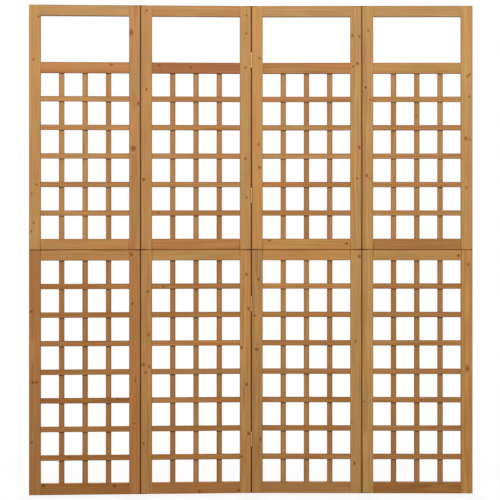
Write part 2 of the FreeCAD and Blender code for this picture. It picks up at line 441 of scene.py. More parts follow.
class Run(Enum):
    """Which way a stick runs, as its long, cross and depth axes."""

    UPRIGHT = (2, 0, 1)
    LEVEL = (0, 2, 1)


class Edge(Enum):
    """A side of a stick in the plane of its panel, as the axis that it faces along and its end there."""

    LEFT = (0, 0)
    RIGHT = (0, 1)
    FOOT = (2, 0)
    HEAD = (2, 1)


class Face(Enum):
    """A face of the divider, as its direction along Y."""

    FRONT = -1
    BACK = 1


@dataclass
class Stick:
    """One length of wood, by its corners in the flat panel in millimetres.

    Its arris is the radius of its rounded edges. Its joints are the sides against another frame, where extra
    stain and painted shade gathered. Rails lie tight against its rail side over the rail spans, so that side
    has no dark edge there. Its flap is how far its back arris on its left is drawn out over the fold, a dark
    sheet that closes the slit to the eye as painted shade. A knot is its place and its radius.
    """

    low: Vector
    high: Vector
    run: Run
    tone: Tone
    arris: float
    eased_ends: bool = False
    joints: dict[Edge, Groove] = field(default_factory=dict)
    rail_side: Edge | None = None
    rail_spans: tuple[tuple[float, float], ...] = ()
    shade_lip: float = 0.0
    knots: list[Vector] = field(default_factory=list)

    @property
    def width(self) -> float:
        """The width across the face."""
        return (self.high - self.low)[self.run.value[1]]

    def covers(self, place: Vector) -> bool:
        """Tell whether a place on the panel's face lies on this stick."""
        return all(self.low[axis] <= place[axis] <= self.high[axis] for axis in (0, 2))

    def inward(self, edge: Edge, place: Vector) -> float:
        """Give how far a place lies in from one side."""
        axis, end = edge.value
        return abs(place[axis] - (self.low, self.high)[end][axis])

    def below_face(self, place: Vector) -> float:
        """Give how far a place lies below the nearer face."""
        depth = self.run.value[2]
        return max(0.0, min(place[depth] - self.low[depth], self.high[depth] - place[depth]))

    def freedom(self, edge: Edge, place: Vector, reach: float) -> float:
        """Tell how free one side is at a place.

        Args:
            edge: The side.
            place: The place.
            reach: How far from a rail the side is wholly free.

        Returns:
            Nought where a rail lies against the side, and one where it is free.
        """
        if edge is not self.rail_side:
            return 1.0
        along = place[self.run.value[0]]
        return min(1.0, *(max(low - along, along - high, 0.0) / reach for low, high in self.rail_spans))


class KnotSize(Enum):
    """How large a knot is, by its radius in millimetres."""

    PIN = 1.6
    SMALL = 2.0
    LARGE = 2.5
    SPIKE = 3.8


# Where knots show, by column and row of the photograph's pixels, read off enlarged crops.
KNOT_PIXELS = {
    KnotSize.PIN: (
        (31, 193), (31, 231), (33, 222), (36, 184), (69, 457), (117, 399), (134, 423), (135, 380),
        (146, 10), (158, 212), (163, 286), (196, 291), (246, 15), (246, 33), (351, 422), (357, 178),
        (364, 401), (369, 178), (370, 99), (416, 115), (469, 139),
    ),
    KnotSize.SMALL: (
        (31, 442), (33, 59), (36, 382), (38, 16), (111, 64), (132, 303), (143, 443), (145, 372),
        (146, 89), (147, 291), (148, 334), (149, 366), (159, 65), (190, 67), (199, 491), (238, 490),
        (241, 456), (245, 67), (245, 158), (246, 197), (254, 315), (258, 144), (258, 279), (259, 58),
        (260, 439), (269, 240), (353, 66), (355, 341), (359, 36), (368, 30), (466, 187), (467, 76),
        (468, 264), (469, 74), (469, 96),
    ),
    KnotSize.LARGE: (
        (31, 311), (32, 382), (43, 485), (114, 485), (131, 254), (138, 103), (143, 179), (143, 364),
        (241, 347), (246, 274), (246, 384), (248, 308), (248, 433), (256, 349), (259, 167), (346, 243),
        (352, 35), (354, 463), (357, 63), (359, 147), (359, 256), (365, 87), (366, 175), (458, 255),
        (465, 138),
    ),
    KnotSize.SPIKE: (
        (130, 32), (133, 148), (467, 368),
    ),
}


@dataclass(frozen=True)
class DividerSizes:
    """The divider's sizes in millimetres, as the solids have them, with its varnish at the folds and the
    flap of painted shade at the middle fold.
    """

    panel_count: int = 4
    stile_width: float = 42.0
    rail_height: float = 40.0
    frame_thickness: float = 20.0
    arris: float = 0.8
    bar_arris: float = 1.1
    bar_width: float = 20.0
    bar_thickness: float = 8.0
    cell_width: float = 66.0
    cell_height: float = 85.0
    columns: int = 4
    lower_rows: int = 8
    upper_rows: int = 6
    window_height: float = 170.0
    panel_gap: float = 0.2
    edge_coat: float = 0.08
    fold_shade_lip: float = 0.45
    stand_fold_deg: float = 3.2
    axis_proud: float = 3.05

    @property
    def lattice_width(self) -> float:
        """The clear width between two stiles."""
        return self.columns * self.cell_width + (self.columns - 1) * self.bar_width

    @property
    def panel_width(self) -> float:
        """The width of one panel."""
        return self.lattice_width + 2 * self.stile_width

    @property
    def pitch(self) -> float:
        """The step from one panel to the next."""
        return self.panel_width + self.panel_gap

    @property
    def seam(self) -> float:
        """The height at which the two half-frames meet."""
        return self.lattice_height(self.lower_rows) + 2 * self.rail_height

    @property
    def window_rail_low(self) -> float:
        """The underside of the rail below the window."""
        return self.seam + self.rail_height + self.lattice_height(self.upper_rows)

    @property
    def top_rail_low(self) -> float:
        """The underside of the top rail."""
        return self.window_rail_low + self.rail_height + self.window_height

    @property
    def height(self) -> float:
        """The full height."""
        return self.top_rail_low + self.rail_height

    def lattice_height(self, rows: int) -> float:
        """Give the height of a lattice with so many rows of cells."""
        return rows * self.cell_height + (rows - 1) * self.bar_width

    def panel_left(self, panel: int) -> float:
        """Give the left edge of a panel while the divider is flat."""
        return (panel - 1) * self.pitch - (self.panel_count * self.pitch - self.panel_gap) / 2


def stand_matrix(sizes: DividerSizes, panel: int) -> Matrix:
    """Work out how a flat panel turns about the middle fold to where it stands.

    Args:
        sizes: The divider's sizes.
        panel: The panel's number, from the left.

    Returns:
        The matrix from flat millimetres to standing metres.
    """
    joints = {joint["name"]: joint for joint in frame["record"]["behaviour"]["joints"]}
    axis_now = Matrix.Translation(Vector(joints["fold_2_3"]["pos_m"]))
    axis_flat = Matrix.Translation(Vector((0, sizes.frame_thickness / 2 + sizes.axis_proud, 0)))
    side = 1 if panel <= sizes.panel_count / 2 else -1
    turn = Matrix.Rotation(side * math.radians(sizes.stand_fold_deg / 2), 4, "Z")
    return axis_now @ turn @ Matrix.Scale(MM, 4) @ axis_flat


def block(low: Vector, high: Vector) -> Matrix:
    """Give the matrix that stretches a unit cube from one corner to the other."""
    return Matrix.Translation((low + high) / 2) @ Matrix.Diagonal((*(high - low), 1.0))


def edges_at(verts: Iterable[BMVert]) -> list[BMEdge]:
    """Give the edges that end at some vertices, each of them once."""
    return list(dict.fromkeys(edge for vert in verts for edge in vert.link_edges))


def of_kind(parts: Iterable[BMVert | BMEdge | BMFace], kind: type) -> list:
    """Pick the vertices, edges or faces out of what an operator made."""
    return [part for part in parts if isinstance(part, kind)]


def round_over(
    mesh: BMesh, corners: list[BMVert | BMEdge], radius: float, steps: int, affect: str = "EDGES"
) -> list[BMFace]:
    """Round some edges of a mesh, or the corners of a sheet.

    Args:
        mesh: The mesh.
        corners: The edges or vertices.
        radius: The radius in millimetres.
        steps: How many faces make the round.
        affect: EDGES or VERTICES.

    Returns:
        The faces of the rounds.
    """
    return bmesh.ops.bevel(
        mesh,
        geom=corners,
        offset=radius,
        offset_type="OFFSET",
        affect=affect,
        segments=steps,
        profile=0.5,
        material=-1,
    )["faces"]


def finished_object(name: str, mesh: BMesh, material: Material) -> Object:
    """Turn a finished mesh into an object at the origin.

    Args:
        name: The object's name.
        mesh: The mesh, which is freed.
        material: Its finish.

    Returns:
        The new object.
    """
    data = bpy.data.meshes.new(name)
    mesh.to_mesh(data)
    mesh.free()
    data.materials.append(material)
    piece = bpy.data.objects.new(name, data)
    bpy.context.scene.collection.objects.link(piece)
    return piece


@dataclass(frozen=True)
class Seat:
    """Where a finished piece belongs: its node, the body that carries it, its place and its finish."""

    node: str
    body: str
    stand: Matrix
    material: Material
    slot: str

    def finish(self, mesh: BMesh, name: str) -> Object:
        """Stand a flat mesh in its place, as the piece that is seen for its node.

        Args:
            mesh: The mesh in flat millimetres, which is freed.
            name: The piece's name.

        Returns:
            The finished object.
        """
        mesh.transform(self.stand)
        bmesh.ops.recalc_face_normals(mesh, faces=mesh.faces[:])
        piece = finished_object(name, mesh, self.material)
        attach(piece, self.body)
        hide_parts(self.node)
        LOG.info("%s: %d faces", piece.name, len(piece.data.polygons))
        return piece


class WoodPiece:
    """A wooden piece of one or more sticks, with the marks that its finish is drawn from.

    The middle of a rounded arris lies so many radii in from the two flats that it joins, taken together.
    A vertex nearer to a cutting plane than so many millimetres counts as on it.
    """

    round_middle = 2 - math.sqrt(2)
    round_steps = 3
    long_sides = 4
    on_plane = 0.01

    def __init__(self, node: str, finish: StainedFir) -> None:
        """Start an empty piece.

        Args:
            node: The node that the piece stands for, which also sets its grain.
            finish: The wood's finish.
        """
        self.finish = finish
        self.chance = random.Random(node)
        self.mesh = bmesh.new()
        self.grain = self.mesh.verts.layers.float_vector.new("grain")
        # The stain layer holds each vertex's colour: the stick's stain, darker near the arrises, with extra
        # stain and painted shade at its joints.
        self.stain = self.mesh.verts.layers.float_color.new("stain")
        self.knots = [self.mesh.verts.layers.float_vector.new(name) for name in KNOT_LAYERS]

    def add(self, stick: Stick) -> None:
        """Model one stick with rounded arrises and note its grain, its stain with painted shade at its
        joints, and its knots.

        Args:
            stick: The stick.
        """
        before = set(self.mesh.verts)
        self.shape(stick)
        along, across, through = stick.run.value
        middle = (stick.low + stick.high) / 2
        centre = Vector((middle[along], middle[across], middle[through]))
        pith = Vector((
            self.chance.uniform(*self.finish.pith_along_mm),
            self.chance.uniform(*self.finish.pith_aside_widths) * stick.width,
            self.chance.choice((-1, 1)) * self.chance.uniform(*self.finish.pith_depth_mm),
        ))
        stain = Vector(linear_colour(stick.tone.value)) * self.chance.uniform(*self.finish.stain_levels)
        marks = [NO_KNOT] * len(KNOT_LAYERS)
        for index, knot in enumerate(stick.knots[:len(marks)]):
            local = Vector((knot[along], knot[across], 0)) - centre + pith
            marks[index] = Vector((local.x, local.y, knot.w)) * MM
        for vert in self.mesh.verts:
            if vert in before:
                continue
            place = Vector((vert.co[along], vert.co[across], vert.co[through]))
            vert[self.grain] = (place - centre + pith) * MM
            vert[self.stain] = self.stained(stick, vert.co, stain)
            for layer, mark in zip(self.knots, marks):
                vert[layer] = mark

    def shape(self, stick: Stick) -> None:
        """Cut the stick's block, round its arrises and line off a margin on its long faces.

        Args:
            stick: The stick.
        """
        along, across, _ = stick.run.value
        eased_axes = (along, across) if stick.eased_ends else (along,)
        before = set(self.mesh.faces)
        place = block(stick.low, stick.high)
        corners = bmesh.ops.create_cube(self.mesh, size=1.0, matrix=place)["verts"]
        middle = place.translation
        shade_lip_corners = [v for v in corners if stick.shade_lip and v.co.x < middle.x and v.co.y > middle.y]
        arrises = [edge for edge in edges_at(corners) if self.axis(edge) in eased_axes]
        free = [edge for edge in arrises if not all(vert in shade_lip_corners for vert in edge.verts)]
        for face in round_over(self.mesh, free, stick.arris, self.round_steps):
            face.smooth = True
        own_faces = [face for face in self.mesh.faces if face not in before]
        long_faces = sorted(own_faces, key=BMFace.calc_area)[-self.long_sides:]
        margin = max([self.finish.edge_reach_mm] + [groove.reach_mm for groove in stick.joints.values()])
        bmesh.ops.inset_individual(self.mesh, faces=long_faces, thickness=margin, use_even_offset=True)
        for low, high in stick.rail_spans:
            for level in (low - self.finish.edge_reach_mm, low, high, high + self.finish.edge_reach_mm):
                self.line_off(along, level)
        if stick.shade_lip:
            self.hang_shade_lip(stick)

    def axis(self, edge: BMEdge) -> int:
        """Tell which axis a straight edge runs along."""
        step = edge.verts[0].co - edge.verts[1].co
        return max(range(3), key=lambda axis: abs(step[axis]))

    def line_off(self, axis: int, level: float) -> None:
        """Cut the faces of a piece of one stick along a plane square to an axis.

        Args:
            axis: The axis.
            level: Where the plane crosses it.
        """
        normal = Vector([float(index == axis) for index in range(3)])
        everything = [*self.mesh.verts, *self.mesh.edges, *self.mesh.faces]
        bmesh.ops.bisect_plane(
            self.mesh, geom=everything, dist=self.on_plane, plane_co=normal * level, plane_no=normal
        )

    def hang_shade_lip(self, stick: Stick) -> None:
        """Draw the back arris on the left of a stick out into a flap over the fold, a dark sheet that closes
        the slit to the eye as painted shade.

        Args:
            stick: The stick, alone in its piece.
        """
        _, side, depth = stick.run.value
        root = stick.high[depth] - stick.shade_lip
        self.line_off(depth, root)
        for vert in self.mesh.verts:
            if vert.co[side] - stick.low[side] < stick.shade_lip / 2 and vert.co[depth] > root:
                vert.co[side] -= vert.co[depth] - root

    def stained(self, stick: Stick, place: Vector, plain: Vector) -> Vector:
        """Darken the plain colour near an arris, and deepen it near a joint with extra stain and painted
        shade.

        Args:
            stick: The stick.
            place: The place on its surface.
            plain: The stick's colour away from its edges.

        Returns:
            The colour at that place.
        """
        level, stain_and_shade_coats = 1.0, 1.0
        to_middle = self.round_middle * stick.arris
        to_flat = stick.arris - to_middle
        for edge in Edge:
            past = max(0.0, stick.inward(edge, place) + stick.below_face(place) - to_middle)
            if edge.value[0] == stick.run.value[1]:
                nearness = max(0.0, 1 - past / (to_flat + self.finish.edge_reach_mm))
                nearness *= stick.freedom(edge, place, self.finish.edge_reach_mm)
                level *= 1 - (1 - self.finish.edge_level) * nearness
            # Painted shade: a joint's extra stain and shade level darken the slit or crease there.
            if edge in stick.joints:
                groove = stick.joints[edge]
                nearness = max(0.0, 1 - past / (to_flat + groove.reach_mm))
                stain_and_shade_coats += groove.stain_and_shade_coats * nearness
                level *= 1 - (1 - groove.painted_shade_level) * nearness
        return Vector([share ** stain_and_shade_coats * level for share in plain])


def tones(words: str) -> tuple[Tone, ...]:
    """Look up the tones that are named in a row of words."""
    return tuple(Tone[word.upper()] for word in words.split())


# The tone of each stile, from the left. The paler tones of the upper stiles are partly the wood's own and
# partly a painted sheen towards the top.
STILE_TONES = {
    "upper": tones("straw russet honey straw amber straw straw pale"),
    "lower": tones("ochre chestnut honey amber honey straw pale amber"),
}
# The tone of each rail, panel by panel. The pale top rails are partly the wood's own tone and partly a
# painted sheen towards the top.
RAIL_TONES = {
    "top_rail": tones("blond honey blond blond"),
    "window_rail": tones("chestnut mahogany ochre straw"),
    "upper_bottom_rail": tones("honey chestnut amber ochre"),
    "lower_top_rail": tones("honey straw amber straw"),
    "bottom_rail": tones("umber ochre russet umber"),
}
# The tones that a half-frame's lattice is made up of, panel by panel.
BAR_TONES = {
    "upper": (
        tones("ochre honey russet"),
        tones("russet ochre"),
        tones("russet honey ochre"),
        tones("russet honey"),
    ),
    "lower": (
        tones("umber ochre"),
        tones("russet ochre chestnut"),
        tones("honey russet ochre"),
        tones("russet ochre"),
    ),
}


@dataclass
class Panel:
    """One panel: two stacked half-frames of stiles and rails with a lattice in each."""

    number: int
    sizes: DividerSizes
    finish: StainedFir
    wood: Material
    viewpoint: Viewpoint

    def __post_init__(self) -> None:
        """Work out where the panel stands and where the photograph's knots fall on its face."""
        self.body = f"panel_{self.number}"
        self.chance = random.Random(self.body)
        self.stand = stand_matrix(self.sizes, self.number)
        self.left = self.sizes.panel_left(self.number)
        inner_left = self.left + self.sizes.stile_width
        self.inner = (inner_left, inner_left + self.sizes.lattice_width)
        knots = [(pixel, size) for size, pixels in KNOT_PIXELS.items() for pixel in pixels]
        self.face_knots = [self.on_face(pixel, size) for pixel, size in knots]

    def on_face(self, pixel: tuple[int, int], size: KnotSize) -> Vector:
        """Find a knot's place on the panel's flat face.

        Args:
            pixel: The knot's column and row in the photograph.
            size: How large it is.

        Returns:
            Its place in flat millimetres, with its radius last.
        """
        start, sight = self.viewpoint.ray(pixel)
        back = self.stand.inverted()
        origin = back @ start
        towards = (back @ (start + sight)) - origin
        reach = (-self.sizes.frame_thickness / 2 - origin.y) / towards.y
        return Vector((*(origin + towards * reach), size.value))

    def make(self, name: str, sticks: list[Stick]) -> None:
        """Model one node's sticks, with the knots that the photograph shows on them.

        Args:
            name: The node's name without its panel.
            sticks: The sticks.
        """
        node = f"{self.body}_{name}"
        piece = WoodPiece(node, self.finish)
        for stick in sticks:
            stick.knots = [knot for knot in self.face_knots if stick.covers(knot.xyz)]
            piece.add(stick)
        Seat(node, self.body, self.stand, self.wood, "stained_softwood").finish(piece.mesh, node + "_wood")

    def stile(self, side: Edge, foot: float, top: float, tone: Tone) -> Stick:
        """Set out a stile, with the coat of varnish that it has at a fold, the extra stain and painted shade
        of the fold's slit, and the flap of painted shade at the middle fold.

        Args:
            side: The side of the panel that it is on.
            foot: The height of its lower end.
            top: The height of its upper end.
            tone: Its tone.

        Returns:
            The stile, still without the joints of its half-frame.
        """
        sizes = self.sizes
        on_right = side is Edge.RIGHT
        left = self.inner[1] if on_right else self.left
        half = sizes.frame_thickness / 2
        stick = Stick(
            Vector((left, -half, foot)),
            Vector((left + sizes.stile_width, half, top)),
            Run.UPRIGHT,
            tone,
            sizes.arris,
            eased_ends=True,
            rail_side=Edge.LEFT if on_right else Edge.RIGHT,
        )
        fold = self.number if on_right else self.number - 1
        # At a fold the stile's edge takes extra stain and painted shade, which darken the slit between the
        # panels.
        if 0 < fold < sizes.panel_count:
            stick.joints[side] = self.finish.folds[fold - 1]
            if on_right:
                stick.high.x += sizes.edge_coat
            else:
                stick.low.x -= sizes.edge_coat
        # At the middle fold the left stile gets a flap, a dark sheet of painted shade that closes the slit.
        if fold == sizes.panel_count // 2 and not on_right:
            stick.shade_lip = sizes.fold_shade_lip
        return stick

    def build_stiles(self) -> None:
        """Model the four stiles."""
        sizes = self.sizes
        halves = {
            "upper": (sizes.seam, sizes.height, Edge.FOOT, (sizes.window_rail_low,)),
            "lower": (0.0, sizes.seam, Edge.HEAD, ()),
        }
        for half, (foot, top, seam_edge, middle_rails) in halves.items():
            rail_lows = (foot, *middle_rails, top - sizes.rail_height)
            for index, side in enumerate((Edge.LEFT, Edge.RIGHT)):
                stick = self.stile(side, foot, top, STILE_TONES[half][2 * (self.number - 1) + index])
                # At the seam the stile takes extra stain and painted shade, which darken the crease between
                # the half-frames.
                stick.joints[seam_edge] = self.finish.seam
                stick.rail_spans = tuple((low, low + sizes.rail_height) for low in rail_lows)
                self.make(f"{half}_{side.name.lower()}_stile", [stick])

    def build_rails(self) -> None:
        """Model the five rails."""
        sizes = self.sizes
        left, right = self.inner
        half = sizes.frame_thickness / 2
        rails = {
            "top_rail": (sizes.top_rail_low, {}),
            "window_rail": (sizes.window_rail_low, {}),
            # The rails at the seam take extra stain and painted shade, which darken the crease between the
            # half-frames.
            "upper_bottom_rail": (sizes.seam, {Edge.FOOT: self.finish.seam}),
            "lower_top_rail": (sizes.seam - sizes.rail_height, {Edge.HEAD: self.finish.seam}),
            "bottom_rail": (0.0, {}),
        }
        for name, (low, joints) in rails.items():
            start = Vector((left, -half, low))
            end = Vector((right, half, low + sizes.rail_height))
            tone = RAIL_TONES[name][self.number - 1]
            self.make(name, [Stick(start, end, Run.LEVEL, tone, sizes.arris, joints=joints)])

    def bar_tone(self, half: str) -> Tone:
        """Draw a bar's tone from those that its half-frame was made up of."""
        return self.chance.choice(BAR_TONES[half][self.number - 1])

    def lattices(self) -> dict[str, tuple[float, int]]:
        """Set out the two lattices.

        Returns:
            The foot and the number of rows of the lower and the upper one.
        """
        return {
            "lower": (self.sizes.rail_height, self.sizes.lower_rows),
            "upper": (self.sizes.seam + self.sizes.rail_height, self.sizes.upper_rows),
        }

    def build_uprights(self) -> None:
        """Model the sticks that stand at the back of the lattice."""
        sizes = self.sizes
        sticks = []
        for half, (foot, rows) in self.lattices().items():
            top = foot + sizes.lattice_height(rows)
            for column in range(1, sizes.columns):
                left = self.inner[0] + column * sizes.cell_width + (column - 1) * sizes.bar_width
                start = Vector((left, 0, foot))
                end = Vector((left + sizes.bar_width, sizes.bar_thickness, top))
                sticks.append(Stick(start, end, Run.UPRIGHT, self.bar_tone(half), sizes.bar_arris))
        self.make("uprights", sticks)

    def build_crossbars(self) -> None:
        """Model the sticks that lie over the fronts of the uprights."""
        sizes = self.sizes
        left, right = self.inner
        sticks = []
        for half, (foot, rows) in self.lattices().items():
            for row in range(1, rows):
                low = foot + row * sizes.cell_height + (row - 1) * sizes.bar_width
                start = Vector((left, -sizes.bar_thickness, low))
                end = Vector((right, 0, low + sizes.bar_width))
                sticks.append(Stick(start, end, Run.LEVEL, self.bar_tone(half), sizes.bar_arris))
        self.make("crossbars", sticks)

    def build(self) -> None:
        """Model every wooden piece of the panel."""
        self.build_stiles()
        self.build_rails()
        self.build_uprights()
        self.build_crossbars()


@dataclass(frozen=True)
class Fold:
    """A fold between two panels, the panel that keeps its pins and the face that has its barrels."""

    left: int
    right: int
    carrier: int
    barrel: Face


FOLDS = (
    Fold(1, 2, 2, Face.BACK),
    Fold(2, 3, 2, Face.FRONT),
    Fold(3, 4, 3, Face.BACK),
)


@dataclass(frozen=True)
class ButtHinge:
    """A butt hinge in millimetres, drawn with X into the panel's depth, Y up and Z into the stile.

    The drawing starts in the middle of the gap between the stiles, at the face that has the barrel.
    """

    gap: float
    axis_proud: float
    length: float = 55.0
    leaf_depth: float = 15.0
    leaf_thickness: float = 1.2
    leaf_proud: float = 0.09
    leaf_corner: float = 2.0
    leaf_corner_steps: int = 4
    pin_radius: float = 1.5
    pin_play: float = 0.05
    pin_end: float = 0.8
    pin_round: float = 0.5
    pin_round_steps: int = 3
    knuckle_count: int = 3
    knuckle_play: float = 0.3
    screw_spread: float = 36.0
    screw_length: float = 12.0
    head_radius: float = 2.6
    head_play: float = 0.1
    shank_radius: float = 1.4
    tip_radius: float = 0.3
    slot_reach: float = 1.7
    slot_width: float = 0.6
    slot_depth: float = 0.7
    sides: int = 24

    @property
    def plate(self) -> float:
        """How far the leaf's bare side is from the middle of the gap."""
        return self.gap / 2 - self.leaf_proud

    @property
    def screw_places(self) -> list[Vector]:
        """The middles of the two screw heads on the leaf's bare side."""
        return [Vector((self.leaf_depth / 2, end * self.screw_spread / 2, self.plate)) for end in (-1, 1)]

    def on_axis(self, height: float) -> Matrix:
        """Give a place on the barrel's axis, turned so that a circle there lies square to it."""
        return Matrix.Translation((-self.axis_proud, height, 0)) @ Matrix.Rotation(math.radians(90), 4, "X")

    def draw_circle(self, mesh: BMesh, radius: float, place: Matrix) -> list[BMEdge]:
        """Draw a circle and give its edges."""
        rim = bmesh.ops.create_circle(mesh, segments=self.sides, radius=radius, matrix=place)["verts"]
        return edges_at(rim)

    def draw_leaf(self, mesh: BMesh, end_knuckles: bool) -> None:
        """Draw a leaf: its plate with countersunk holes, its knuckles and their arms.

        Args:
            mesh: The mesh that takes it.
            end_knuckles: Whether it has the knuckles at both ends, or the one between.
        """
        self.draw_plate(mesh)
        pitch = (self.length + self.knuckle_play) / self.knuckle_count
        height = pitch - self.knuckle_play
        bore = self.pin_radius + self.pin_play
        wall_middle = bore + self.leaf_thickness / 2
        arm_reach = math.sqrt(wall_middle ** 2 - (self.plate + self.leaf_thickness / 2) ** 2)
        for index in range(0 if end_knuckles else 1, self.knuckle_count, 2):
            foot = index * pitch - self.length / 2
            rims = []
            for radius in (bore, bore + self.leaf_thickness):
                rims.extend(self.draw_circle(mesh, radius, self.on_axis(foot)))
            ring = bmesh.ops.bridge_loops(mesh, edges=rims)["faces"]
            self.thicken(mesh, ring, Vector((0, height, 0)))
            low = Vector((arm_reach - self.axis_proud, foot, self.plate))
            high = Vector((self.leaf_proud, foot + height, self.plate + self.leaf_thickness))
            bmesh.ops.create_cube(mesh, size=1.0, matrix=block(low, high))

    def draw_plate(self, mesh: BMesh) -> None:
        """Draw the flat plate of a leaf, with rounded corners and countersunk holes.

        Args:
            mesh: The mesh that takes it.
        """
        place = Matrix.Translation((self.leaf_depth / 2, 0, self.plate))
        place @= Matrix.Diagonal((self.leaf_depth / 2, self.length / 2, 1.0, 1.0))
        corners = bmesh.ops.create_grid(mesh, x_segments=1, y_segments=1, size=1.0, matrix=place)["verts"]
        hinge_side = [vert for vert in corners if vert.co.x < self.leaf_depth / 2]
        free_side = [vert for vert in corners if vert not in hinge_side]
        round_over(mesh, free_side, self.leaf_corner, self.leaf_corner_steps, "VERTICES")
        sheet = hinge_side[0].link_faces[0]
        outlines = list(sheet.edges)
        bmesh.ops.delete(mesh, geom=[sheet], context="FACES_ONLY")
        hole = self.head_radius + self.head_play
        for middle in self.screw_places:
            outlines.extend(self.draw_circle(mesh, hole, Matrix.Translation(middle)))
        filled = bmesh.ops.triangle_fill(mesh, use_beauty=True, edges=outlines)["geom"]
        far = self.thicken(mesh, of_kind(filled, BMFace), Vector((0, 0, self.leaf_thickness)))
        shrink = (self.shank_radius + self.head_play) / hole
        for middle in self.screw_places:
            rim = [vert for vert in far if (vert.co - middle).xy.length < hole + self.head_play]
            bmesh.ops.scale(mesh, vec=(shrink, shrink, 1.0), space=Matrix.Translation(-middle), verts=rim)

    def thicken(self, mesh: BMesh, sheet: list[BMFace], step: Vector) -> list[BMVert]:
        """Draw a flat sheet out into a solid.

        Args:
            mesh: The mesh that holds it.
            sheet: The sheet's faces, which stay as one side of the solid.
            step: The thickness and its direction.

        Returns:
            The vertices of the far side.
        """
        edges = list({edge for face in sheet for edge in face.edges})
        made = bmesh.ops.extrude_face_region(mesh, geom=[*sheet, *edges], use_keep_orig=True)["geom"]
        far = of_kind(made, BMVert)
        bmesh.ops.translate(mesh, vec=step, verts=far)
        return far

    def draw_screws(self, mesh: BMesh) -> None:
        """Draw the two countersunk screws of a leaf, each with a cross slot in its head.

        Args:
            mesh: The mesh that takes them.
        """
        stations = ((self.leaf_thickness, self.shank_radius), (self.screw_length, self.tip_radius))
        for middle in self.screw_places:
            place = Matrix.Translation(middle + Vector((0, 0, self.leaf_proud)))
            radius = self.head_radius
            loop = self.draw_circle(mesh, radius, place)
            cross = self.draw_cross(mesh, place)
            bmesh.ops.triangle_fill(mesh, use_beauty=True, edges=[*loop, *cross])
            for depth, next_radius in stations:
                made = bmesh.ops.extrude_edge_only(mesh, edges=loop)["geom"]
                ring, loop = of_kind(made, BMVert), of_kind(made, BMEdge)
                shrink = next_radius / radius
                bmesh.ops.scale(mesh, vec=(shrink, shrink, 1.0), space=place.inverted(), verts=ring)
                for vert in ring:
                    vert.co.z = place.translation.z + depth
                radius = next_radius
            bmesh.ops.edgeloop_fill(mesh, edges=loop)

    def draw_cross(self, mesh: BMesh, place: Matrix) -> list[BMEdge]:
        """Draw the cross slot of a screw head.

        Args:
            mesh: The mesh that takes it.
            place: Where the head's middle is.

        Returns:
            The edges of the slot's mouth.
        """
        grid = bmesh.ops.create_grid(
            mesh, x_segments=3, y_segments=3, size=self.slot_reach, matrix=place
        )["verts"]
        middle = place.translation
        half = self.slot_width / 2
        for vert in grid:
            for axis in (0, 1):
                away = vert.co[axis] - middle[axis]
                if abs(away) < self.slot_reach / 2:
                    vert.co[axis] = middle[axis] + math.copysign(half, away)
        squares = {face for vert in grid for face in vert.link_faces}
        aside = {face: (face.calc_center_median() - middle).xy for face in squares}
        corners = [face for face, (right, up) in aside.items() if min(abs(right), abs(up)) > half]
        bmesh.ops.delete(mesh, geom=corners, context="FACES")
        arms = [face for face in squares if face.is_valid]
        mouth = [edge for edge in {e for f in arms for e in f.edges} if edge.is_boundary]
        sunk = of_kind(bmesh.ops.extrude_face_region(mesh, geom=arms)["geom"], BMVert)
        bmesh.ops.translate(mesh, vec=(0, 0, self.slot_depth), verts=sunk)
        left_over = [face for face in arms if face.is_valid]
        bmesh.ops.delete(mesh, geom=left_over, context="FACES_ONLY")
        return [edge for edge in mouth if edge.is_valid]

    def draw_pin(self, mesh: BMesh) -> None:
        """Draw the pin, with both ends rounded.

        Args:
            mesh: The mesh that takes it.
        """
        length = self.length + 2 * self.pin_end
        rod = bmesh.ops.create_cone(
            mesh,
            cap_ends=True,
            segments=self.sides,
            radius1=self.pin_radius,
            radius2=self.pin_radius,
            depth=length,
            matrix=self.on_axis(0.0),
        )["verts"]
        ends = [e for e in edges_at(rod) if abs(e.verts[0].co.y - e.verts[1].co.y) < length / 2]
        round_over(mesh, ends, self.pin_round, self.pin_round_steps)


